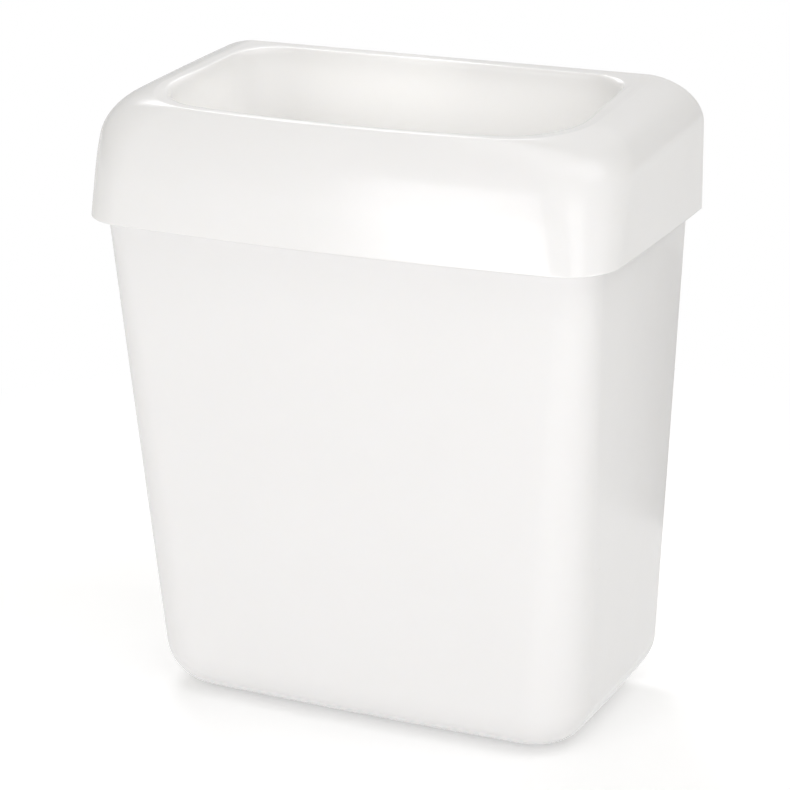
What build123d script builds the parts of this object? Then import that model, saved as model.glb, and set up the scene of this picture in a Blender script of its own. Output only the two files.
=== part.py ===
"""Hooded waste bin: a tapered tub, a lift-off hood with a funnel, and a wire hoop for the bag.

Millimetres, +Z up. The origin is under the middle of the bin, on the floor.
X runs across the bin, the front faces -Y and the flat back lies at +Y.
"""

import math
import os

from build123d import *

# Overall
bin_height = 430.0
hood_width = 370.0
hood_depth = 192.5
side_bow = 1.5
overhang = 10.9
overrun = 5.0

# Hood
hood_height = 86.5
hood_wall = 2.6
skirt_edge_radius = 0.8
hood_corner = 36.0
hood_bow = 9.0
top_corner = 54.0
top_bow = 13.2
dome_reach = 43.0
dome_rise = 29.0
dome_end_angle = 82.0
dome_steps = 6
skirt_steps = 5
front_lean = 6.7
front_curl = 14.0
curl_height = 51.5
front_drop = 9.3
crest_radius = 3.0
top_flare = 8.0

# Throat of the hood
throat_back = 11.0
throat_lip = 5.5
throat_side = 7.5
throat_flare = 4.0
throat_corner = 34.0
throat_lip_radius = 4.5
funnel_depth = 80.0
funnel_wall = 2.4
funnel_draft = 4.0
rib_thickness = 2.0
front_rib_shares = (-0.56, 0.0, 0.56)
back_rib_shares = (-0.56, 0.56)
side_rib_shares = (0.33, 0.7)

# Tub
rim_rise = 12.5
tub_wall = 2.6
tub_floor = 3.0
side_taper = 18.4
front_taper = 21.9
base_corner = 40.0
base_bow = 2.5
base_radius = 35.0
corner_margin = 1.5
foot_ring_width = 7.0
foot_recess = 1.5
rim_thickness = 3.0
rim_gap = 0.6
neck_gap = 0.5
shadow_gap = 1.0
neck_overlap = 5.0

# Wall fixing holes
wall_hole_radius = 2.75
wall_hole_spacing = 180.0
wall_hole_rise = 160.0
wall_hole_drop = 53.5
wall_pad_radius = 9.0
wall_pad_height = 2.0

# Bag hoop
wire_radius = 2.5
hoop_drop = 26.0
hoop_corner = 40.0
hoop_side_gap = 6.0
hoop_front_gap = 5.0
lug_width = 14.0
lug_height = 10.0
lug_overlap = 4.0
lug_spacing = 140.0
seat_gap = 0.3

# Hoop clips and their screws
clip_inset = 27.0
clip_length = 46.0
clip_height = 15.0
clip_plate = 3.0
clip_hook_length = 14.0
clip_hook_wall = 2.2
clip_mouth = 4.4
clip_edge_radius = 2.0
wire_running_gap = 0.06
boss_radius = 5.0
boss_height = 8.0
screw_spacing = 32.0
screw_radius = 1.9
screw_length = 10.0
screw_head_radius = 3.6
screw_head_height = 2.2
screw_head_round = 0.9
screw_clearance = 0.2
thread_clearance = 0.05
drive_length = 4.0
drive_width = 0.9
drive_depth = 1.0

# Places worked out from the sizes above
back_y = hood_depth / 2
front_y = -hood_depth / 2
hood_half = hood_width / 2
tub_top_half = hood_half - overhang
tub_top_depth = hood_depth - overhang
base_half = tub_top_half - side_taper
base_depth = tub_top_depth - front_taper
skirt_foot = bin_height - hood_height
curl_foot = bin_height - curl_height
funnel_foot = bin_height - funnel_depth
tub_height = skirt_foot + rim_rise
hoop_level = tub_height - hoop_drop
wall_hole_middle = skirt_foot - wall_hole_drop - wall_hole_rise / 2
dome_end = math.radians(dome_end_angle)
dome_foot = bin_height - dome_rise * math.sin(dome_end)
crest_depth = hood_depth - front_lean - front_curl
top_slope = math.degrees(math.atan2(front_drop, crest_depth))
neck_back = hood_wall + neck_gap
ledge_level = skirt_foot - shadow_gap
clip_plate_back = tub_wall + boss_height
clip_plate_front = clip_plate_back + clip_plate
wire_bore = wire_radius + wire_running_gap
hook_radius = wire_bore + clip_hook_wall
hinge_y = back_y - clip_plate_front - hook_radius


def outline(plane, back, front, half_back, half_front, bow, corner, back_corner=0.0):
    """Plan with a straight back, nearly straight sides and a bowed front, measured forward from the plane."""
    shoulder = front - bow
    middle = ((half_back + half_front) / 2 + side_bow, -(back + shoulder) / 2)
    with BuildSketch(plane) as plan:
        with BuildLine():
            Line((-half_back, -back), (half_back, -back))
            ThreePointArc((half_back, -back), middle, (half_front, -shoulder))
            ThreePointArc((half_front, -shoulder), (0, -front), (-half_front, -shoulder))
            ThreePointArc((-half_front, -shoulder), (-middle[0], middle[1]), (-half_back, -back))
        make_face()
        fillet(plan.vertices().sort_by(Axis.Y)[:2], radius=corner)
        if back_corner > 0:
            fillet(plan.vertices().sort_by(Axis.Y)[-2:], radius=back_corner)
    return plan.sketch


def level_plane(level, slope=0.0):
    """Plane through the flat back at a height, sloping down towards the front."""
    tilt = math.radians(slope)
    return Plane(origin=(0, back_y, level), x_dir=(1, 0, 0), z_dir=(0, -math.sin(tilt), math.cos(tilt)))


def hood_front(level):
    """Depth of the hood's front face at a height: it leans back a little, then curls in to the crest."""
    lean = front_lean * (level - skirt_foot) / hood_height
    curl = max(0.0, level - curl_foot) / (bin_height - curl_foot)
    return hood_depth - lean - front_curl * curl**2


def between(foot_size, top_size, level):
    """Size at a height of something that changes evenly from the skirt's foot to the top of the hood."""
    return foot_size + (top_size - foot_size) * (level - skirt_foot) / hood_height


def hood_plan(level, angle, inset):
    """Plan of the hood at a height: the angle runs up the domed sides, and the inset is the wall."""
    reach = (dome_reach - inset) * (1 - math.cos(angle)) + inset
    half = hood_half - reach
    return outline(
        level_plane(level - inset * math.sin(angle), between(0, top_slope, level)),
        back=inset,
        front=hood_front(level) - inset,
        half_back=half,
        half_front=half + top_flare * (1 - math.cos(angle)),
        bow=between(hood_bow, top_bow, level),
        corner=between(hood_corner, top_corner, level) - inset,
    )


def hood_sections(inset):
    """Plans from the skirt's foot up to the edge of the top."""
    levels = [skirt_foot + (dome_foot - skirt_foot) * step / skirt_steps for step in range(skirt_steps)]
    sections = [hood_plan(level, 0.0, inset) for level in levels]
    for step in range(dome_steps + 1):
        angle = dome_end * step / dome_steps
        sections.append(hood_plan(dome_foot + dome_rise * math.sin(angle), angle, inset))
    return sections


def throat_plan(level, slope, draft, outset):
    """Plan of the funnel, drawn in by the draft and grown by its wall."""
    half = hood_half - dome_reach * (1 - math.cos(dome_end)) - throat_side - draft
    return outline(
        level_plane(level, slope),
        back=throat_back + draft - outset,
        front=crest_depth - crest_radius - throat_lip - draft + outset,
        half_back=half + outset,
        half_front=half + throat_flare + outset,
        bow=top_bow,
        corner=top_corner - throat_lip - draft + outset,
        back_corner=throat_corner - draft + outset,
    )


def throat_solid(outset, foot, top):
    """Tapered block through the hood: the funnel's outside with an outset, its inside without."""
    with BuildPart() as throat:
        loft([throat_plan(foot, 0.0, funnel_draft, outset), throat_plan(top, top_slope, 0.0, outset)])
    return throat.part


def tapered(base_size, hood_size, level):
    """Size of the tub at a height, changing evenly from the floor to the hood's skirt."""
    return base_size + (hood_size - base_size) * level / skirt_foot


def tub_half(level):
    """Half width of the tub at a height."""
    return tapered(base_half, tub_top_half, level)


def tub_front(level):
    """Depth of the tub's front face on its middle line at a height."""
    return tapered(base_depth, tub_top_depth, level)


def tub_plan(level, inset, back):
    """Plan of the tub at a height: without an inset its outside, with its wall as the inset its inside."""
    return outline(
        level_plane(level),
        back=back,
        front=tub_front(level) - inset,
        half_back=tub_half(level) - inset,
        half_front=tub_half(level) - inset,
        bow=tapered(base_bow, hood_bow, level),
        corner=tapered(base_corner, hood_corner - overhang, level) - inset,
    )


bottom_round = min(base_radius, base_corner - corner_margin)
hoop_front = tub_front(hoop_level) - tub_wall - hood_bow - hoop_front_gap - wire_radius
hoop_half = tub_half(hoop_level) - tub_wall - hoop_side_gap - wire_radius
seat_level = hoop_level - wire_radius - seat_gap
rear_plane = Plane(origin=(0, back_y, 0), x_dir=(-1, 0, 0), z_dir=(0, 1, 0))
clip_centers = [side * (hoop_half - hoop_corner - clip_inset) for side in (-1, 1)]
screw_centers = [(x + side * screw_spacing / 2, hoop_level) for x in clip_centers for side in (-1, 1)]

# Hollow of the tub, less what stands inside it
with BuildPart() as tub_hollow:
    hollow_top = tub_height + overrun
    loft([tub_plan(tub_floor, tub_wall, tub_wall), tub_plan(hollow_top, tub_wall, tub_wall)], ruled=True)
    fillet(tub_hollow.faces().sort_by(Axis.Z)[0].edges(), radius=bottom_round - tub_wall)
    neck_front = neck_back + tub_wall
    neck_foot = ledge_level - neck_overlap
    neck_top = hollow_top + overrun
    with Locations((0, back_y - neck_front / 2, (neck_foot + neck_top) / 2)):
        Box(hood_width, neck_front, neck_top - neck_foot, mode=Mode.SUBTRACT)
    lug_length = tub_front(seat_level) - tub_wall - hoop_front + lug_overlap
    lug_y = back_y - hoop_front + lug_overlap - lug_length / 2
    lug_z = seat_level - lug_height / 2
    with Locations((-lug_spacing / 2, lug_y, lug_z), (lug_spacing / 2, lug_y, lug_z)):
        Box(lug_width, lug_length, lug_height, mode=Mode.SUBTRACT)
    with BuildSketch(rear_plane) as bosses:
        with Locations(*[(-x, z) for x, z in screw_centers]):
            Circle(boss_radius)
    extrude(amount=-(tub_wall + boss_height), mode=Mode.SUBTRACT)
    with BuildSketch(rear_plane) as pads:
        with Locations((0, wall_hole_middle)):
            with GridLocations(wall_hole_spacing, wall_hole_rise, 2, 2):
                Circle(wall_pad_radius)
    extrude(amount=-(tub_wall + wall_pad_height), mode=Mode.SUBTRACT)

# Tub: drafted container with a turned-out rim and a neck set forward of the hood's rear skirt
with BuildPart() as tub:
    loft([tub_plan(0.0, 0.0, -overrun), tub_plan(tub_height, 0.0, -overrun)], ruled=True)
    split(bisect_by=rear_plane, keep=Keep.BOTTOM)
    fillet(tub.faces().sort_by(Axis.Z)[0].edges(), radius=bottom_round)
    rim_inset = hood_wall + rim_gap
    rim = outline(
        level_plane(tub_height),
        back=neck_back,
        front=hood_front(tub_height) - rim_inset,
        half_back=hood_half - rim_inset,
        half_front=hood_half - rim_inset,
        bow=between(hood_bow, top_bow, tub_height),
        corner=between(hood_corner, top_corner, tub_height) - rim_inset,
    )
    extrude(rim, amount=-rim_thickness)
    add(tub_hollow.part, mode=Mode.SUBTRACT)
    with Locations((0, back_y - neck_back / 2, (ledge_level + neck_top) / 2)):
        Box(hood_width, neck_back, neck_top - ledge_level, mode=Mode.SUBTRACT)
    ring = outline(
        level_plane(0.0),
        back=bottom_round + foot_ring_width,
        front=base_depth - bottom_round - foot_ring_width,
        half_back=base_half - bottom_round - foot_ring_width,
        half_front=base_half - bottom_round - foot_ring_width,
        bow=base_bow,
        corner=foot_ring_width,
        back_corner=foot_ring_width,
    )
    extrude(ring, amount=foot_recess, mode=Mode.SUBTRACT)
    with BuildSketch(rear_plane) as wall_holes:
        with Locations((0, wall_hole_middle)):
            with GridLocations(wall_hole_spacing, wall_hole_rise, 2, 2):
                Circle(wall_hole_radius)
    extrude(amount=-(tub_wall + wall_pad_height + overrun), mode=Mode.SUBTRACT)
    with BuildSketch(rear_plane.offset(-clip_plate_back)) as pilot_holes:
        with Locations(*[(-x, z) for x, z in screw_centers]):
            Circle(screw_radius + thread_clearance)
    extrude(amount=boss_height, mode=Mode.SUBTRACT)
tub.part.label = "tub"

# Hollow between the hood's shell and its funnel, parted by the ribs that stand on the tub's rim
with BuildPart() as hood_hollow:
    loft(hood_sections(hood_wall))
    foot_plan = hood_plan(skirt_foot, 0.0, hood_wall)
    extrude(foot_plan, amount=-overrun)
    add(throat_solid(funnel_wall, funnel_foot, bin_height + overrun), mode=Mode.SUBTRACT)
    rib_level = (tub_height + bin_height + overrun) / 2
    rib_height = bin_height + overrun - tub_height
    with Locations(*[(share * hood_half, front_y, rib_level) for share in front_rib_shares]):
        Box(rib_thickness, hood_depth, rib_height, mode=Mode.SUBTRACT)
    with Locations(*[(share * hood_half, back_y, rib_level) for share in back_rib_shares]):
        Box(rib_thickness, hood_depth, rib_height, mode=Mode.SUBTRACT)
    with Locations(*[(0, back_y - share * hood_depth, rib_level) for share in side_rib_shares]):
        Box(hood_width + 2 * overrun, rib_thickness, rib_height, mode=Mode.SUBTRACT)

# Hood: domed shell whose open top turns down into the funnel
with BuildPart() as hood:
    loft(hood_sections(0.0))
    top_edges = hood.faces().sort_by(Axis.Z)[-1].edges().sort_by(Axis.Y)[:-1]
    fillet(top_edges, radius=crest_radius)
    add(hood_hollow.part, mode=Mode.SUBTRACT)
    add(throat_solid(0.0, funnel_foot - overrun, bin_height + overrun), mode=Mode.SUBTRACT)
    top_face = hood.faces().filter_by(lambda face: face.inner_wires() and face.normal_at().Z > 0)[0]
    fillet(top_face.inner_wires()[0].edges(), radius=throat_lip_radius)
    fillet(hood.faces().sort_by(Axis.Z)[0].outer_wire().edges(), radius=skirt_edge_radius)
hood.part.label = "hood"

# Bag hoop: one closed loop of wire, whose rear leg turns in the clips
with BuildPart() as bag_hoop:
    with BuildLine(Plane.XY.offset(hoop_level)) as hoop_path:
        FilletPolyline(
            (hoop_half, hinge_y),
            (hoop_half, back_y - hoop_front),
            (-hoop_half, back_y - hoop_front),
            (-hoop_half, hinge_y),
            radius=hoop_corner,
            close=True,
        )
    with BuildSketch(Plane(hoop_path.line @ 0, z_dir=hoop_path.line % 0)):
        Circle(wire_radius)
    sweep()
bag_hoop.part.label = "bag_hoop"


def hoop_clip(center_x):
    """Screwed plate with a hook that is open at the top, so that the wire snaps in."""
    plate_back = (center_x, back_y - clip_plate_back, hoop_level)
    plate_plane = Plane(origin=plate_back, x_dir=(1, 0, 0), z_dir=(0, -1, 0))
    hook_end = (center_x - clip_hook_length / 2, hinge_y, hoop_level)
    hook_plane = Plane(origin=hook_end, x_dir=(0, 1, 0), z_dir=(1, 0, 0))
    with BuildPart() as clip:
        with BuildSketch(plate_plane):
            RectangleRounded(clip_length, clip_height, clip_edge_radius)
            with GridLocations(screw_spacing, 0, 2, 1):
                Circle(screw_radius + screw_clearance, mode=Mode.SUBTRACT)
        extrude(amount=clip_plate)
        with BuildSketch(hook_plane):
            Circle(hook_radius)
            with Locations((hook_radius / 2, 0)):
                Rectangle(hook_radius, 2 * hook_radius)
        extrude(amount=clip_hook_length)
        with BuildSketch(hook_plane):
            Circle(wire_bore)
            with Locations((0, hook_radius)):
                Rectangle(clip_mouth, 2 * hook_radius)
        extrude(amount=clip_hook_length, mode=Mode.SUBTRACT)
    return clip.part


hoop_clip_left = hoop_clip(clip_centers[0])
hoop_clip_left.label = "hoop_clip_left"
hoop_clip_right = hoop_clip(clip_centers[1])
hoop_clip_right.label = "hoop_clip_right"

# Clip screws: four pan heads with a cross recess
head_plane = Plane(origin=(0, back_y - clip_plate_front, 0), x_dir=(1, 0, 0), z_dir=(0, -1, 0))
with BuildPart() as clip_screws:
    with BuildSketch(head_plane):
        with Locations(*screw_centers):
            Circle(screw_head_radius)
    extrude(amount=screw_head_height)
    fillet(clip_screws.faces().group_by(Axis.Y)[0].edges(), radius=screw_head_round)
    with BuildSketch(head_plane):
        with Locations(*screw_centers):
            Circle(screw_radius)
    extrude(amount=-screw_length)
    with BuildSketch(head_plane.offset(screw_head_height)):
        with Locations(*screw_centers):
            Rectangle(drive_length, drive_width)
            Rectangle(drive_width, drive_length)
    extrude(amount=-drive_depth, mode=Mode.SUBTRACT)
clip_screws.part.label = "clip_screws"

os.makedirs("parts", exist_ok=True)
pieces = [tub.part, hood.part, bag_hoop.part, hoop_clip_left, hoop_clip_right, clip_screws.part]
for piece in pieces:
    export_step(piece, f"parts/{piece.label}.step")
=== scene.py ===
"""Looks of the hooded waste bin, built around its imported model.

Metres, +Z up. The front faces -Y and the flat back lies at +Y. Sizes are written in millimetres.
"""

import math

import bpy
import numpy as np
from mathutils import Matrix, Vector


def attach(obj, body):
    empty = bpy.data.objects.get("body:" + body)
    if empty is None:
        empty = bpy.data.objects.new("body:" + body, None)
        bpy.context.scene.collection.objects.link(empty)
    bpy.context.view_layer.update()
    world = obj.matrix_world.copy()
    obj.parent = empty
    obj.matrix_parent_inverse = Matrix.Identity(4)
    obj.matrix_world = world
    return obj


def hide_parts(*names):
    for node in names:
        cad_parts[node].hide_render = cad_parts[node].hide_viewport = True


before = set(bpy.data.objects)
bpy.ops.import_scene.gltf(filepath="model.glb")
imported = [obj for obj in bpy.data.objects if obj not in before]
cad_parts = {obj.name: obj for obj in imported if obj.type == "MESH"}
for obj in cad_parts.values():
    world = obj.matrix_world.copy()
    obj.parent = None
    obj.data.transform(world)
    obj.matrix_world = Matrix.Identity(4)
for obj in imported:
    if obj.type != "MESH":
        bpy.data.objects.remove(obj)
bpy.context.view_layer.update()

MM = 0.001

# Overall
bin_height = 430.0
hood_width = 370.0
hood_depth = 192.5
side_bow = 1.5
overhang = 10.9
overrun = 5.0

# Hood
hood_height = 86.5
hood_wall = 2.6
skirt_edge_radius = 0.8
hood_corner = 36.0
hood_bow = 9.0
top_corner = 54.0
top_bow = 13.2
dome_reach = 43.0
dome_rise = 29.0
dome_end = math.radians(82.0)
front_lean = 6.7
front_curl = 14.0
curl_height = 51.5
front_drop = 9.3
crest_radius = 3.0
top_flare = 8.0
edge_round = 0.6
skin_margin = 0.06

# Throat of the hood
throat_back = 11.0
throat_lip = 5.5
throat_side = 7.5
throat_flare = 4.0
throat_corner = 34.0
throat_lip_radius = 4.5
funnel_depth = 80.0
funnel_wall = 2.4
funnel_draft = 4.0
rib_thickness = 2.0
rib_sink = 1.2
front_rib_shares = (-0.56, 0.0, 0.56)
back_rib_shares = (-0.56, 0.56)
side_rib_shares = (0.33, 0.7)

# Tub
rim_rise = 12.5
tub_wall = 2.6
tub_floor = 3.0
side_taper = 18.4
front_taper = 21.9
base_corner = 40.0
base_bow = 2.5
base_radius = 35.0
foot_ring_width = 7.0
foot_recess = 1.5
rim_thickness = 3.0
rim_gap = 0.6
neck_gap = 0.5
shadow_gap = 1.0
neck_overlap = 5.0
wall_hole_radius = 2.75
wall_hole_spacing = 180.0
wall_hole_rise = 160.0
wall_hole_drop = 53.5
wall_pad_radius = 9.0
wall_pad_height = 2.0

# Bag hoop, its lugs, clips and screws
wire_radius = 2.5
hoop_drop = 26.0
hoop_corner = 40.0
hoop_side_gap = 6.0
hoop_front_gap = 5.0
lug_width = 14.0
lug_height = 10.0
lug_overlap = 4.0
lug_spacing = 140.0
seat_gap = 0.3
clip_inset = 27.0
clip_plate = 3.0
clip_hook_wall = 2.2
wire_running_gap = 0.06
boss_radius = 5.0
boss_height = 8.0
screw_spacing = 32.0
screw_radius = 1.9
thread_clearance = 0.05

# Places worked out from the sizes above
back_y = hood_depth / 2
hood_half = hood_width / 2
skirt_foot = bin_height - hood_height
curl_foot = bin_height - curl_height
funnel_foot = bin_height - funnel_depth
tub_height = skirt_foot + rim_rise
hoop_level = tub_height - hoop_drop
hole_middle = skirt_foot - wall_hole_drop - wall_hole_rise / 2
tub_top_half = hood_half - overhang
tub_top_depth = hood_depth - overhang
base_half = tub_top_half - side_taper
base_depth = tub_top_depth - front_taper
dome_foot = bin_height - dome_rise * math.sin(dome_end)
crest_depth = hood_depth - front_lean - front_curl
top_slope = math.atan2(front_drop, crest_depth)
side_lean = math.atan2(side_taper, skirt_foot)
front_wall_lean = math.atan2(front_taper, skirt_foot)
neck_back = hood_wall + neck_gap
ledge_level = skirt_foot - shadow_gap
clip_plate_back = tub_wall + boss_height
hinge_y = back_y - clip_plate_back - clip_plate - wire_radius - wire_running_gap - clip_hook_wall

# How far the foot's round turns before the straight wall takes over
FOOT_TURN = math.radians(89)

# Points on half a plan: back, back corner, side, front corner, front
BACK_STEPS, BACK_CORNER_STEPS, SIDE_STEPS, CORNER_STEPS, FRONT_STEPS = 26, 12, 34, 34, 44


def circle_through(a, b, c):
    """Centre and radius of the circle through three points."""
    rows = np.array([[b[0] - a[0], b[1] - a[1]], [c[0] - a[0], c[1] - a[1]]])
    right_side = np.array([(p[0] ** 2 - a[0] ** 2 + p[1] ** 2 - a[1] ** 2) / 2 for p in (b, c)])
    center = np.linalg.solve(rows, right_side)
    return center, float(np.hypot(*(center - np.array(a))))


def arc(center, radius, start, end, steps):
    """Points along a circle from one point to another, the last one left out."""
    first = math.atan2(start[1] - center[1], start[0] - center[0])
    last = math.atan2(end[1] - center[1], end[0] - center[0])
    turn = (last - first + math.pi) % (2 * math.pi) - math.pi
    angles = first + turn * np.arange(steps) / steps
    return np.stack([center[0] + radius * np.cos(angles), center[1] + radius * np.sin(angles)], 1)


def plan(
    level, slope, back, front, half_back, half_front, bow, corner, back_corner=edge_round, arc_back=None
):
    """Closed ring of points: straight back, nearly straight sides, bowed front and rounded corners."""
    arc_back = back if arc_back is None else arc_back
    shoulder = front - bow
    side_end = (half_front, -shoulder)
    side_middle = ((half_back + half_front) / 2 + side_bow, -(arc_back + shoulder) / 2)
    side_center, side_radius = circle_through((half_back, -arc_back), side_middle, side_end)
    front_center, front_radius = circle_through(side_end, (0.0, -front), (-half_front, -shoulder))
    inner_side, inner_front = side_radius - corner, front_radius - corner
    apart = front_center - side_center
    distance = float(np.hypot(*apart))
    along = (inner_side**2 - inner_front**2 + distance**2) / (2 * distance)
    across = math.sqrt(inner_side**2 - along**2)
    toward = apart / distance
    sideways = np.array([-toward[1], toward[0]])
    choices = [side_center + toward * along + sideways * across * side for side in (-1, 1)]
    center = min(choices, key=lambda point: math.dist(point, side_end))
    side_foot = side_center + (center - side_center) * side_radius / inner_side
    front_foot = front_center + (center - front_center) * front_radius / inner_front
    rear_y = -back - back_corner
    rear_inner = side_radius - back_corner
    rear = np.array([side_center[0] + math.sqrt(rear_inner**2 - (rear_y - side_center[1]) ** 2), rear_y])
    rear_foot = side_center + (rear - side_center) * side_radius / rear_inner
    line = np.stack([np.linspace(0, rear[0], BACK_STEPS + 1)[:-1], np.full(BACK_STEPS, -back)], 1)
    half = np.vstack([
        line,
        arc(rear, back_corner, (rear[0], -back), rear_foot, BACK_CORNER_STEPS),
        arc(side_center, side_radius, rear_foot, side_foot, SIDE_STEPS),
        arc(center, corner, side_foot, front_foot, CORNER_STEPS),
        arc(front_center, front_radius, front_foot, (0.0, -front), FRONT_STEPS),
        [[0.0, -front]],
    ])
    points = np.vstack([half, half[-2:0:-1] * [-1, 1]])
    y = back_y + points[:, 1] * math.cos(slope)
    z = level + points[:, 1] * math.sin(slope)
    return np.stack([points[:, 0], y, z], 1)


def between(foot_size, top_size, level):
    """Size at a height of something that changes evenly from the skirt's foot to the top of the hood."""
    return foot_size + (top_size - foot_size) * (level - skirt_foot) / hood_height


def hood_front(level):
    """Depth of the hood's front face at a height."""
    curl = max(0.0, level - curl_foot) / curl_height
    return hood_depth - front_lean * (level - skirt_foot) / hood_height - front_curl * curl**2


def hood_ring(level, angle, inset):
    """Plan of the hood at a height: the angle runs up the domed sides, and the inset is the wall."""
    reach = (dome_reach - inset) * (1 - math.cos(angle)) + inset
    half = hood_half - reach
    return plan(
        level - inset * math.sin(angle),
        between(0, top_slope, level),
        inset,
        hood_front(level) - inset,
        half,
        half + top_flare * (1 - math.cos(angle)),
        between(hood_bow, top_bow, level),
        between(hood_corner, top_corner, level) - inset,
    )


def hood_profile(inset, skirt_steps, dome_steps):
    """Rings from the skirt's foot to the edge of the top."""
    levels = np.linspace(skirt_foot, dome_foot, skirt_steps + 1)[:-1]
    rings = [hood_ring(level, 0.0, inset) for level in levels]
    for angle in np.linspace(0, dome_end, dome_steps + 1):
        rings.append(hood_ring(dome_foot + dome_rise * math.sin(angle), angle, inset))
    return np.array(rings)


def throat_ring(level, slope, draft, outset):
    """Plan of the funnel, drawn in by the draft and grown by its wall."""
    half = hood_half - dome_reach * (1 - math.cos(dome_end)) - throat_side - draft
    return plan(
        level,
        slope,
        throat_back + draft - outset,
        crest_depth - crest_radius - throat_lip - draft + outset,
        half + outset,
        half + throat_flare + outset,
        top_bow,
        top_corner - throat_lip - draft + outset,
        throat_corner - draft + outset,
    )


def unit(vectors):
    """Vectors at length one."""
    return vectors / np.linalg.norm(vectors, axis=-1, keepdims=True)


def rounded(corner, before, after, radius, steps):
    """Rings that round a corner ring: each point turns from the direction of one neighbour to the other's."""
    a, b = unit(before - corner), unit(after - corner)
    half = np.arccos(np.clip((a * b).sum(-1), -1, 1)) / 2
    half = half[:, None]
    radius = np.broadcast_to(radius, len(corner))[:, None]
    center = corner + unit(a + b) * radius / np.sin(half)
    start = corner + a * radius / np.tan(half) - center
    end = corner + b * radius / np.tan(half) - center
    turn = np.pi - 2 * half
    shares = np.linspace(0, 1, steps + 1)
    return [center + (np.sin((1 - t) * turn) * start + np.sin(t * turn) * end) / np.sin(turn) for t in shares]


def set_back(corner, before, after, radius):
    """Distance from a corner at which its rounding starts."""
    a, b = unit(before - corner), unit(after - corner)
    return radius / np.tan(np.arccos(np.clip((a * b).sum(-1), -1, 1)) / 2)


def lengths(rings):
    """Distance along the profile from its first ring, for each point."""
    steps = np.linalg.norm(np.diff(rings, axis=0), axis=-1)
    return np.vstack([np.zeros(rings.shape[1]), np.cumsum(steps, axis=0)])


def resampled(rings, start, end, steps):
    """The profile between two distances from its ends, given for each point, at even steps."""
    run = lengths(rings)
    out = np.empty((steps + 1, rings.shape[1], 3))
    for i in range(rings.shape[1]):
        places = np.linspace(start[i], run[-1, i] - end[i], steps + 1)
        for axis in range(3):
            out[:, i, axis] = np.interp(places, run[:, i], rings[:, i, axis])
    return out


def straight(first, last, steps):
    """Rings between two rings, the ends left out."""
    return [first + (last - first) * k / steps for k in range(1, steps)]


def at_plane(foot, top, level, slope=0.0):
    """Where the lines from one ring to another meet a plane through the flat back at a height."""
    drop = math.tan(slope)
    foot_gap = foot[:, 2] - level - (foot[:, 1] - back_y) * drop
    top_gap = top[:, 2] - level - (top[:, 1] - back_y) * drop
    share = (foot_gap / (foot_gap - top_gap))[:, None]
    return foot + (top - foot) * share


def mesh_object(name, points, faces):
    """Object from points in millimetres."""
    mesh = bpy.data.meshes.new(name)
    mesh.from_pydata((np.asarray(points) * MM).tolist(), [], faces)
    mesh.update()
    obj = bpy.data.objects.new(name, mesh)
    bpy.context.scene.collection.objects.link(obj)
    return obj


def skin(name, rings, closed=False):
    """Object whose rings are joined in turn: into a loop when closed, otherwise capped flat at both ends."""
    rings = np.array(rings)
    count, around = rings.shape[:2]
    faces = []
    for k in range(count if closed else count - 1):
        low, high = k * around, (k + 1) % count * around
        for i in range(around):
            j = (i + 1) % around
            faces.append((low + i, low + j, high + j, high + i))
    if not closed:
        faces.append(tuple(range(around))[::-1])
        faces.append(tuple(range((count - 1) * around, count * around)))
    obj = mesh_object(name, rings.reshape(-1, 3), faces)
    face_out(obj)
    return obj


def face_out(obj):
    """Turns the faces so that they look outwards."""
    mesh = obj.data
    volume = 0.0
    co = np.array([v.co for v in mesh.vertices])
    for polygon in mesh.polygons:
        v = co[list(polygon.vertices)]
        for k in range(1, len(v) - 1):
            volume += float(np.dot(v[0], np.cross(v[k], v[k + 1])))
    if volume < 0:
        mesh.flip_normals()


def block(name, low, high):
    """Box between two corners."""
    (x0, y0, z0), (x1, y1, z1) = low, high
    points = [(x, y, z) for z in (z0, z1) for x, y in ((x0, y0), (x1, y0), (x1, y1), (x0, y1))]
    faces = [(3, 2, 1, 0), (4, 5, 6, 7), (0, 1, 5, 4), (1, 2, 6, 5), (2, 3, 7, 6), (3, 0, 4, 7)]
    return mesh_object(name, points, faces)


def rod(name, x, z, radius, depth_from, depth_to, sides=48):
    """Round bar along Y between two depths from the back plane."""
    angles = np.arange(sides) * 2 * math.pi / sides
    circle = np.stack([x + radius * np.cos(angles), np.zeros(sides), z + radius * np.sin(angles)], 1)
    return skin(name, [circle + [0, back_y - depth, 0] for depth in (depth_from, depth_to)])


def joined(objects):
    """One object from several that don't touch, which are removed."""
    points, faces = [], []
    for obj in objects:
        start = len(points)
        points += [tuple(v.co / MM) for v in obj.data.vertices]
        faces += [tuple(start + i for i in polygon.vertices) for polygon in obj.data.polygons]
        bpy.data.objects.remove(obj)
    return mesh_object("tools", points, faces)


def combine(target, tool, operation):
    """Boolean operation of one solid on another. The tool is removed."""
    step = target.modifiers.new("step", "BOOLEAN")
    step.operation = operation
    step.solver = "EXACT"
    step.object = tool
    shape = bpy.data.meshes.new_from_object(target.evaluated_get(bpy.context.evaluated_depsgraph_get()))
    target.modifiers.clear()
    target.data = shape
    bpy.data.objects.remove(tool)


def smooth(obj, angle=32.0):
    """Smooth shading with sharp edges over an angle."""
    obj.data.shade_smooth()
    obj.data.set_sharp_from_angle(angle=math.radians(angle))


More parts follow.
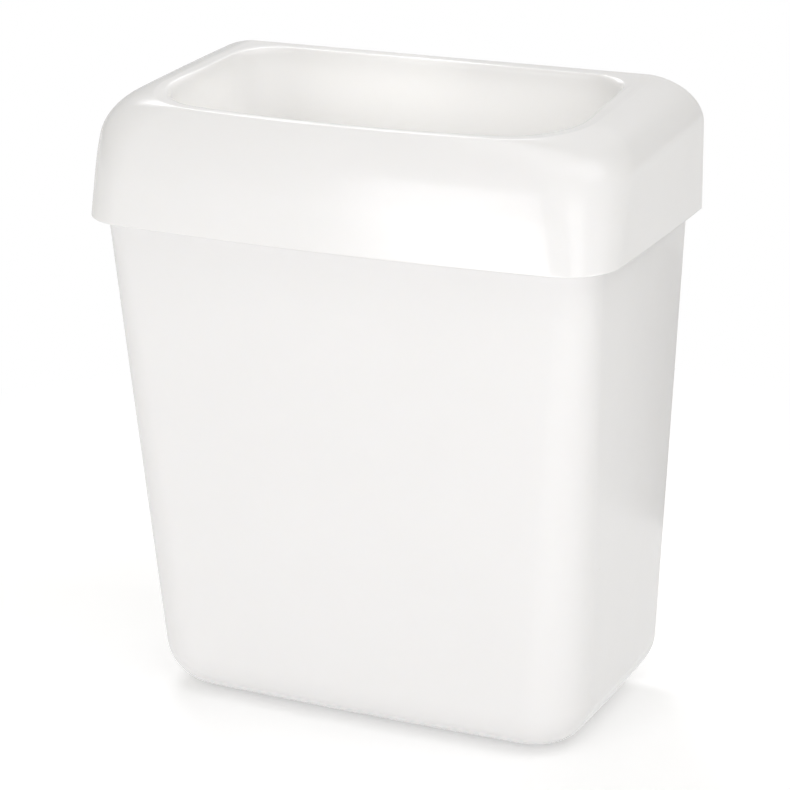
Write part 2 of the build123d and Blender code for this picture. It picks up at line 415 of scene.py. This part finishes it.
# Camera at the photograph's viewpoint, as fitted to it
PHOTO_SIDE = 790.0
FOCAL_PIXELS = 2841.99
SHIFT_PIXELS = (15.41, 18.97)
CAMERA_TARGET = Vector((0, -0.01375, 0.21))
CAMERA_DISTANCE = 1.89716
azimuth, elevation, roll = math.radians(25.91), math.radians(19.38), math.radians(-0.91)
flat_run = math.cos(elevation)
forward = Vector((-math.sin(azimuth) * flat_run, math.cos(azimuth) * flat_run, -math.sin(elevation)))
level_right = Vector((math.cos(azimuth), math.sin(azimuth), 0))
level_up = level_right.cross(forward)
right = level_right * math.cos(roll) + level_up * math.sin(roll)
up = level_up * math.cos(roll) - level_right * math.sin(roll)
position = CAMERA_TARGET - forward * CAMERA_DISTANCE
camera_data = bpy.data.cameras.new("camera")
camera_data.sensor_width = 36.0
camera_data.lens = camera_data.sensor_width * FOCAL_PIXELS / PHOTO_SIDE
camera_data.shift_x = SHIFT_PIXELS[0] / PHOTO_SIDE
camera_data.shift_y = SHIFT_PIXELS[1] / PHOTO_SIDE
camera = bpy.data.objects.new("camera", camera_data)
camera.matrix_world = Matrix.Translation(position) @ Matrix((right, up, -forward)).transposed().to_4x4()
bpy.context.scene.collection.objects.link(camera)
bpy.context.scene.camera = camera

# Hood: one skin round the wall, from the skirt's foot over the lip and down the funnel, and back underneath
outer = hood_profile(skin_margin, 160, 240)
top_level = bin_height - skin_margin * math.sin(dome_end)
inner = hood_profile(hood_wall, 24, 36)
crest = outer[-1]
high_throat = throat_ring(bin_height + overrun, top_slope, 0.0, 0.0)
low_throat = throat_ring(funnel_foot - overrun, 0.0, funnel_draft, 0.0)
lip = at_plane(low_throat, high_throat, top_level, top_slope)
funnel_end = at_plane(low_throat, high_throat, funnel_foot)
high_funnel = throat_ring(bin_height + overrun, top_slope, 0.0, funnel_wall)
low_funnel = throat_ring(funnel_foot, 0.0, funnel_draft, funnel_wall)
roof_level = bin_height - hood_wall * math.sin(dome_end)
funnel_roof = at_plane(low_funnel, high_funnel, roof_level, top_slope)

around = len(crest)
index = np.minimum(np.arange(around), around - np.arange(around))
blend = np.clip((index - BACK_STEPS) / BACK_CORNER_STEPS, 0, 1)
crest_rounds = edge_round + (crest_radius - edge_round) * blend
foot = outer[0]
crest_start = set_back(crest, outer[-2], lip, crest_rounds)
foot_start = set_back(foot, inner[0], outer[1], skirt_edge_radius)
rings = list(rounded(foot, inner[0], outer[1], skirt_edge_radius, 5))
rings += list(resampled(outer, foot_start, crest_start, 96))[1:-1]
rings += rounded(crest, outer[-2], lip, crest_rounds, 10)
lip_rounds = rounded(lip, crest, funnel_end, throat_lip_radius, 9)
rings += straight(rings[-1], lip_rounds[0], 3)
rings += lip_rounds
end_inner = rounded(funnel_end, lip, low_funnel, edge_round, 3)
end_outer = rounded(low_funnel, funnel_end, funnel_roof, edge_round, 3)
rings += straight(rings[-1], end_inner[0], 26)
rings += end_inner
rings += end_outer
rings += straight(rings[-1], funnel_roof, 10)
rings += [funnel_roof]
rings += straight(funnel_roof, inner[-1], 4)
rings += list(inner[::-1])
hood = skin("hood_shell", rings, closed=True)

# Ribs of the hood: blocks cut to its hollow, sunk a little into the walls
sunk_outer = hood_profile(hood_wall - rib_sink, 24, 36)
sunk_high = throat_ring(bin_height + overrun, top_slope, 0.0, funnel_wall - rib_sink)
sunk_low = throat_ring(funnel_foot, 0.0, funnel_draft, funnel_wall - rib_sink)
sunk_roof = at_plane(sunk_low, sunk_high, sunk_outer[-1][0, 2], top_slope)
hollow = skin("hood_hollow", list(sunk_outer) + [sunk_roof, sunk_low], closed=True)
rib_top = bin_height + overrun
half_rib = rib_thickness / 2
past_middle = 1.0
blocks = []
for shares, y_from, y_to in ((front_rib_shares, -hood_depth, 0), (back_rib_shares, 0, hood_depth)):
    for share in shares:
        x = share * hood_half
        blocks.append(((x - half_rib, y_from, tub_height), (x + half_rib, y_to, rib_top)))
for share in side_rib_shares:
    y = back_y - share * hood_depth
    for x_from, x_to in ((-hood_width, -past_middle), (past_middle, hood_width)):
        blocks.append(((x_from, y - half_rib, tub_height), (x_to, y + half_rib, rib_top)))
ribs = block("ribs", *blocks[0])
for low, high in blocks[1:]:
    combine(ribs, block("rib", low, high), "UNION")
combine(ribs, hollow, "INTERSECT")
combine(hood, ribs, "UNION")
smooth(hood)
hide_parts("hood")
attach(hood, "hood")


def tapered(base_size, top_size, level):
    """Size of the tub at a height, changing evenly from the floor to the hood's skirt."""
    return base_size + (top_size - base_size) * level / skirt_foot


def foot_inset(height, radius, lean):
    """How far a rounded foot stands inside its leaning wall at a height above the floor."""
    if height >= radius * (1 - math.sin(lean)):
        return 0.0
    across = math.sqrt(radius**2 - (radius - height) ** 2)
    return radius / math.cos(lean) - radius * math.tan(lean) - across + height * math.tan(lean)


def tub_ring(level, inset, floor, radius):
    """Plan of the tub at a height, with its rounded foot."""
    height = level - floor
    front_in = inset + foot_inset(height, radius, front_wall_lean)
    half = tapered(base_half, tub_top_half, level) - inset - foot_inset(height, radius, side_lean)
    return plan(
        level,
        0.0,
        inset + foot_inset(height, radius, 0.0),
        tapered(base_depth, tub_top_depth, level) - front_in,
        half,
        half,
        tapered(base_bow, hood_bow, level),
        tapered(base_corner, hood_corner - overhang, level) - front_in,
        arc_back=-overrun if inset == 0 else inset,
    )


def tub_rings(inset, floor, radius, top, foot_steps, wall_steps):
    """Rings from the floor to a height."""
    angles = np.linspace(0, FOOT_TURN, foot_steps + 1)
    levels = [floor + radius * (1 - math.cos(angle)) for angle in angles]
    levels += list(np.linspace(levels[-1], top, wall_steps + 1)[1:])
    return [tub_ring(level, inset, floor, radius) for level in levels]


# Tub: container, turned-out rim, recessed neck, foot ring, lugs, bosses and holes
tub = skin("tub_shell", tub_rings(0.0, 0.0, base_radius, tub_height, 28, 48))
rim_inset = hood_wall + rim_gap
rim_sizes = (
    neck_back,
    hood_front(tub_height) - rim_inset,
    hood_half - rim_inset,
    hood_half - rim_inset,
    between(hood_bow, top_bow, tub_height),
    between(hood_corner, top_corner, tub_height) - rim_inset,
)
rim_low, rim_high = (plan(level, 0.0, *rim_sizes) for level in (tub_height - rim_thickness, tub_height))
rim_middle = rim_low.mean(0)
rim_low_inside = (rim_low + rim_middle) / 2
rim_high_inside = (rim_high + rim_middle + [0, 0, rim_thickness]) / 2
rim_low_edge = rounded(rim_low, rim_low_inside, rim_high, edge_round, 3)
rim_high_edge = rounded(rim_high, rim_low, rim_high_inside, edge_round, 3)
combine(tub, skin("rim", rim_low_edge + rim_high_edge), "UNION")
hollow_top = tub_height + overrun
neck_top = hollow_top + overrun
neck_front = neck_back + tub_wall
neck_end = (hood_width, back_y + overrun, neck_top)
combine(tub, block("neck", (-hood_width, back_y - neck_back, ledge_level), neck_end), "DIFFERENCE")
recess_inset = base_radius + foot_ring_width
recess_sizes = (
    recess_inset,
    base_depth - recess_inset,
    base_half - recess_inset,
    base_half - recess_inset,
    base_bow,
    foot_ring_width,
    foot_ring_width,
)
recess = [plan(level, 0.0, *recess_sizes) for level in (-overrun, foot_recess)]
combine(tub, skin("recess", recess), "DIFFERENCE")

tub_hollow = skin("tub_hollow", tub_rings(tub_wall, tub_floor, base_radius - tub_wall, hollow_top, 24, 16))
neck_foot = ledge_level - neck_overlap
combine(tub_hollow, block("neck", (-hood_width, back_y - neck_front, neck_foot), neck_end), "DIFFERENCE")
wire_inset = tub_wall + wire_radius
hoop_front = tapered(base_depth, tub_top_depth, hoop_level) - wire_inset - hood_bow - hoop_front_gap
hoop_half = tapered(base_half, tub_top_half, hoop_level) - wire_inset - hoop_side_gap
seat_level = hoop_level - wire_radius - seat_gap
clip_centers = [side * (hoop_half - hoop_corner - clip_inset) for side in (-1, 1)]
screw_centers = [x + side * screw_spacing / 2 for x in clip_centers for side in (-1, 1)]
lug_back = back_y - hoop_front + lug_overlap
stands = []
for side in (-1, 1):
    x = side * lug_spacing / 2
    low = (x - lug_width / 2, -hood_depth, seat_level - lug_height)
    high = (x + lug_width / 2, lug_back, seat_level)
    stands.append(block("lug", low, high))
stands += [rod("boss", x, hoop_level, boss_radius, 0, clip_plate_back) for x in screw_centers]
hole_columns = (-wall_hole_spacing / 2, wall_hole_spacing / 2)
hole_rows = (hole_middle - wall_hole_rise / 2, hole_middle + wall_hole_rise / 2)
holes = [(x, z) for x in hole_columns for z in hole_rows]
pad_depth = tub_wall + wall_pad_height
stands += [rod("pad", x, z, wall_pad_radius, 0, pad_depth) for x, z in holes]
combine(tub_hollow, joined(stands), "DIFFERENCE")
combine(tub, tub_hollow, "DIFFERENCE")
bores = [rod("hole", x, z, wall_hole_radius, -overrun, pad_depth + overrun) for x, z in holes]
pilot_radius = screw_radius + thread_clearance
pilot_end = clip_plate_back + overrun
bores += [rod("pilot", x, hoop_level, pilot_radius, tub_wall, pilot_end, 32) for x in screw_centers]
combine(tub, joined(bores), "DIFFERENCE")
smooth(tub)
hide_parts("tub")
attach(tub, "tub")

# Bag hoop: a round wire along a rounded rectangle
CORNER_TURNS, WIRE_SIDES = 20, 28
corner_x = hoop_half - hoop_corner
front_corner_y = back_y - hoop_front + hoop_corner
rear_corner_y = hinge_y - hoop_corner
hoop_corners = (
    (corner_x, front_corner_y, -90),
    (corner_x, rear_corner_y, 0),
    (-corner_x, rear_corner_y, 90),
    (-corner_x, front_corner_y, 180),
)
path = []
for x, y, start in hoop_corners:
    for angle in np.radians(np.linspace(start, start + 90, CORNER_TURNS + 1)):
        outward = np.array([math.cos(angle), math.sin(angle), 0.0])
        path.append((np.array([x, y, hoop_level]) + hoop_corner * outward, outward))
turns = np.arange(WIRE_SIDES) * 2 * math.pi / WIRE_SIDES
upward = np.array([0, 0, 1.0])
sections = []
for point, outward in path:
    sections.append([point + wire_radius * (math.cos(t) * outward + math.sin(t) * upward) for t in turns])
hoop = skin("bag_hoop_wire", sections, closed=True)
smooth(hoop)
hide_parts("bag_hoop")
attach(hoop, "bag_hoop")


class Nodes:
    """Short hand for building a material's nodes."""

    def __init__(self, name):
        self.material = bpy.data.materials.new(name)
        self.material.use_nodes = True
        self.tree = self.material.node_tree
        self.tree.nodes.clear()
        self.output = self.add("OutputMaterial")
        self.place = self.add("TexCoord").outputs["Object"]

    def add(self, kind, **inputs):
        node = self.tree.nodes.new("ShaderNode" + kind)
        for key, value in inputs.items():
            self.put(node.inputs[key.replace("_", " ")], value)
        return node

    def put(self, socket, value):
        if isinstance(value, bpy.types.NodeSocket):
            self.tree.links.new(value, socket)
        else:
            socket.default_value = value

    def noise(self, scale, detail=3.0, roughness=0.5):
        node = self.add("TexNoise", Vector=self.place, Scale=scale, Detail=detail, Roughness=roughness)
        return node.outputs["Fac"]

    def math(self, operation, *values):
        node = self.add("Math")
        node.operation = operation
        for socket, value in zip(node.inputs, values):
            self.put(socket, value)
        return node.outputs[0]

    def ranged(self, value, low, high, to_low, to_high):
        node = self.add("MapRange", Value=value)
        limits = {"From Min": low, "From Max": high, "To Min": to_low, "To Max": to_high}
        for key, number in limits.items():
            node.inputs[key].default_value = number
        return node.outputs[0]

    def mixed(self, share, first, second):
        node = self.add("Mix")
        node.data_type = "RGBA"
        self.put(node.inputs[0], share)
        self.put(node.inputs[6], first)
        self.put(node.inputs[7], second)
        return node.outputs[2]


SPECK_COLOR = (0.45, 0.43, 0.38, 1.0)
SPECK_STRENGTH = 0.45
GLOSS_SPREAD = 0.10


def plastic(name, color, shade, gloss, grain, speck_share):
    """Moulded plastic: faint clouding, a few specks, a fine skin texture and rubbed patches."""
    n = Nodes(name)
    clouds = n.noise(9.0, 4.0, 0.55)
    base = n.mixed(n.ranged(clouds, 0.2, 0.8, 0.0, 1.0), (*color, 1.0), (*shade, 1.0))
    cells = n.add("TexVoronoi", Vector=n.place, Scale=24.0)
    near = n.ranged(cells.outputs["Distance"], 0.010, 0.016, 1.0, 0.0)
    pick = n.add("SeparateColor", Color=cells.outputs["Color"]).outputs[0]
    chosen = n.math("GREATER_THAN", pick, 1.0 - speck_share)
    specks = n.math("MULTIPLY", near, chosen)
    base = n.mixed(n.math("MULTIPLY", specks, SPECK_STRENGTH), base, SPECK_COLOR)
    rub = n.ranged(n.noise(26.0, 5.0, 0.65), 0.0, 1.0, gloss - GLOSS_SPREAD, gloss + GLOSS_SPREAD)
    fine = n.noise(grain, 2.0, 0.5)
    waves = n.noise(45.0, 2.0, 0.5)
    height = n.math("ADD", n.math("MULTIPLY", fine, 0.25), waves)
    bump = n.add("Bump", Height=height)
    bump.inputs["Strength"].default_value = 0.12
    bump.inputs["Distance"].default_value = 0.0002
    shader = n.add("BsdfPrincipled", Base_Color=base, Roughness=rub, Normal=bump.outputs[0])
    shader.inputs["IOR"].default_value = 1.49
    shader.inputs["Subsurface Weight"].default_value = 0.12
    shader.inputs["Subsurface Radius"].default_value = (1.0, 0.95, 0.85)
    shader.inputs["Subsurface Scale"].default_value = 0.002
    n.tree.links.new(shader.outputs[0], n.output.inputs["Surface"])
    return n.material


def steel(name):
    """Zinc-plated steel: streaks and faint dull spots."""
    n = Nodes(name)
    spots = n.noise(900.0, 4.0, 0.6)
    base = n.mixed(spots, (0.68, 0.68, 0.66, 1.0), (0.5, 0.5, 0.48, 1.0))
    rough = n.ranged(n.noise(1500.0, 3.0, 0.6), 0.0, 1.0, 0.28, 0.44)
    bump = n.add("Bump", Height=n.noise(2500.0, 2.0, 0.5))
    bump.inputs["Strength"].default_value = 0.1
    bump.inputs["Distance"].default_value = 0.00005
    shader = n.add("BsdfPrincipled", Base_Color=base, Roughness=rough, Normal=bump.outputs[0])
    shader.inputs["Metallic"].default_value = 1.0
    n.tree.links.new(shader.outputs[0], n.output.inputs["Surface"])
    return n.material


tub_material = plastic("tub_plastic", (0.914, 0.907, 0.898), (0.898, 0.891, 0.880), 0.21, 700.0, 0.5)
hood_material = plastic("hood_plastic", (0.914, 0.907, 0.896), (0.898, 0.891, 0.876), 0.20, 500.0, 0.12)
wire_material = plastic("coated_wire", (0.78, 0.78, 0.76), (0.74, 0.74, 0.72), 0.38, 1500.0, 0.0)
clip_material = plastic("clip_plastic", (0.75, 0.75, 0.73), (0.72, 0.72, 0.70), 0.42, 1800.0, 0.0)
screw_material = steel("screw_steel")
for obj, material in ((tub, tub_material), (hood, hood_material), (hoop, wire_material)):
    obj.data.materials.clear()
    obj.data.materials.append(material)
cad_looks = {"hoop_clip_left": clip_material, "hoop_clip_right": clip_material, "clip_screws": screw_material}
for node, material in cad_looks.items():
    for material_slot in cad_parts[node].material_slots:
        material_slot.material = material

# Floor: pale and plain, white to the camera, keeping the bin's shadow near it
FLOOR_REACH = 8000.0
FLOOR_TONE = 0.9
TOUCH_LEVEL = 0.28
SHADOW_ENDS = (0.3, 0.75)
corners = [(x * FLOOR_REACH, y * FLOOR_REACH, 0) for x, y in ((-1, -1), (1, -1), (1, 1), (-1, 1))]
floor = mesh_object("floor", corners, [(0, 1, 2, 3)])
n = Nodes("floor")
sight = n.add("LightPath").outputs
seen = n.math("MAXIMUM", sight["Is Camera Ray"], sight["Is Transmission Ray"])
length_node = n.add("VectorMath")
length_node.operation = "LENGTH"
n.tree.links.new(n.place, length_node.inputs[0])
far = n.ranged(length_node.outputs["Value"], *SHADOW_ENDS, 0.0, 1.0)
diffuse = n.add("BsdfDiffuse", Color=(FLOOR_TONE, FLOOR_TONE, FLOOR_TONE, 1.0))
white = n.add("Emission", Color=(1, 1, 1, 1), Strength=1.0)
touch = n.add("Emission", Color=(1, 1, 1, 1), Strength=TOUCH_LEVEL)
near_floor = n.add("AddShader")
n.tree.links.new(diffuse.outputs[0], near_floor.inputs[0])
n.tree.links.new(touch.outputs[0], near_floor.inputs[1])
seen_floor = n.add("MixShader")
n.put(seen_floor.inputs[0], far)
n.tree.links.new(near_floor.outputs[0], seen_floor.inputs[1])
n.tree.links.new(white.outputs[0], seen_floor.inputs[2])

# Painted reflection: the floor glows for reflected rays only, as a white sheet, duller beyond its rear edge
# with a dark patch that darkens the reflection on the tub's right side toward its back edge
SHEET_EDGE = 0.36
SHEET_LEVEL = 0.92
BEYOND_LEVEL = 0.79
PATCH_SLANT = 0.37
PATCH_END = 1.05
PATCH_START = 0.1
PATCH_FADE = (0.07, 0.17)
PATCH_DEPTH = 0.7
spot = n.add("SeparateXYZ", Vector=n.place).outputs
beyond = n.math("GREATER_THAN", spot["Y"], SHEET_EDGE)
aside = n.math("SUBTRACT", spot["X"], n.math("MULTIPLY", spot["Y"], PATCH_SLANT))
before_end = n.math("LESS_THAN", spot["Y"], PATCH_END)
patch = n.math("MULTIPLY", before_end, n.math("GREATER_THAN", spot["X"], PATCH_START))
# Painted dark reflection: the patch is seen only in the plastic's reflections, not on the floor itself
dark = n.math("MULTIPLY", patch, n.ranged(aside, *PATCH_FADE, PATCH_DEPTH, 0.0))
dull = n.math("MULTIPLY", n.math("SUBTRACT", 1.0, dark), BEYOND_LEVEL)
shine = n.math("SUBTRACT", SHEET_LEVEL, n.math("MULTIPLY", beyond, n.math("SUBTRACT", SHEET_LEVEL, dull)))
reflected = n.add("Emission", Color=(1, 1, 1, 1), Strength=shine)
unseen_floor = n.add("MixShader")
n.put(unseen_floor.inputs[0], sight["Is Glossy Ray"])
n.tree.links.new(diffuse.outputs[0], unseen_floor.inputs[1])
n.tree.links.new(reflected.outputs[0], unseen_floor.inputs[2])
whole = n.add("MixShader")
n.put(whole.inputs[0], seen)
n.tree.links.new(unseen_floor.outputs[0], whole.inputs[1])
n.tree.links.new(seen_floor.outputs[0], whole.inputs[2])
n.tree.links.new(whole.outputs[0], n.output.inputs["Surface"])
floor.data.materials.append(n.material)

# World: even soft light, white where it is seen and dim where it is reflected
world = bpy.data.worlds.new("studio")
bpy.context.scene.world = world
world.use_nodes = True
tree = world.node_tree
tree.nodes.clear()
output = tree.nodes.new("ShaderNodeOutputWorld")
path_node = tree.nodes.new("ShaderNodeLightPath")


def background(color, strength):
    """Background of one colour and strength."""
    node = tree.nodes.new("ShaderNodeBackground")
    node.inputs["Color"].default_value = (*color, 1)
    node.inputs["Strength"].default_value = strength
    return node


def choose(ray, otherwise, chosen):
    """The second shader for one kind of ray and the first for the others."""
    node = tree.nodes.new("ShaderNodeMixShader")
    tree.links.new(path_node.outputs[ray], node.inputs[0])
    tree.links.new(otherwise.outputs[0], node.inputs[1])
    tree.links.new(chosen.outputs[0], node.inputs[2])
    return node


WHITE = (1.0, 1.0, 1.0)
SOFT_COLOR = (1.0, 0.99, 0.925)
SOFT_LEVEL = 0.42
REFLECTED_LEVEL = 0.38
soft = background(SOFT_COLOR, SOFT_LEVEL)
dim = background(WHITE, REFLECTED_LEVEL)
bright = background(WHITE, 1.0)
surround = choose("Is Camera Ray", choose("Is Glossy Ray", soft, dim), bright)
tree.links.new(surround.outputs[0], output.inputs["Surface"])

LAMP_COLOR = (0.965, 0.96, 1.0)
FILL_COLOR = (0.98, 0.975, 0.975)


def softbox(name, place, aim, width, height, power, spread=180.0):
    """Rectangular lamp at a place, turned to its aim."""
    lamp = bpy.data.lights.new(name, "AREA")
    lamp.shape = "RECTANGLE"
    lamp.size = width
    lamp.size_y = height
    lamp.energy = power
    lamp.spread = math.radians(spread)
    lamp.color = LAMP_COLOR
    obj = bpy.data.objects.new(name, lamp)
    direction = Vector(aim) - Vector(place)
    obj.matrix_world = Matrix.Translation(place) @ direction.to_track_quat("-Z", "Y").to_matrix().to_4x4()
    bpy.context.scene.collection.objects.link(obj)
    return obj


def around_bin(side, rise, distance, aim):
    """Place at a distance from the aim, turned from the front to the right, and raised."""
    turn, lift = math.radians(side), math.radians(rise)
    run = distance * math.cos(lift)
    return (aim[0] + run * math.sin(turn), aim[1] - run * math.cos(turn), aim[2] + distance * math.sin(lift))


bin_middle = (0.0, 0.0, 0.22)
tall_left = (0.0, -0.09, 0.575)
tall_right = (0.17, -0.07, 0.55)
low_right = (0.16, 0.0, 0.08)
low_front = (0.0, -0.09, 0.12)
# Name, turn and rise in degrees, distance and aim, then width and height of the lamp and its power
STUDIO_LAMPS = (
    ("tall_left", -15.0, 0.0, 1.78, tall_left, 0.5, 1.08, 5.85),
    ("tall_right", 43.0, 0.0, 1.8, tall_right, 0.75, 1.0, 3.4),
    ("low_right", 72.0, 2.0, 1.1, low_right, 0.7, 0.2, 1.8),
    ("low_front", 0.0, 0.0, 1.6, low_front, 1.0, 0.2, 4.0),
    ("right_high", 80.0, 55.0, 2.0, bin_middle, 1.0, 1.0, 5.7),
    ("rear", 180.0, 50.0, 2.0, bin_middle, 1.3, 1.3, 2.0),
    ("rear_left", -140.0, 45.0, 2.0, bin_middle, 1.0, 1.0, 11.1),
    ("top_front", 10.0, 75.0, 2.0, bin_middle, 1.4, 1.4, 6.4),
)
for name, side, rise, distance, aim, width, height, power in STUDIO_LAMPS:
    softbox(name, around_bin(side, rise, distance, aim), aim, width, height, power)

# Weak lamps just over the throat: mainly for the funnel, though they touch the rear lip too
# Name, place, aim, width, height, power and spread in degrees
FUNNEL_LAMPS = (
    ("fill", (0.0, 0.012, 0.431), (0.0, 0.0121, 0.2), 0.24, 0.1, 0.064, 180.0),
    ("fill_left", (0.03, 0.012, 0.47), (-0.12, 0.0121, 0.39), 0.1, 0.06, 0.017, 120.0),
    ("fill_back", (0.0, -0.02, 0.43), (0.0, 0.085, 0.405), 0.22, 0.02, 0.011, 120.0),
)
for lamp_values in FUNNEL_LAMPS:
    fill = softbox(*lamp_values)
    fill.data.color = FILL_COLOR
    fill.visible_camera = False
    fill.visible_glossy = False

bpy.context.scene.view_settings.view_transform = "Standard"
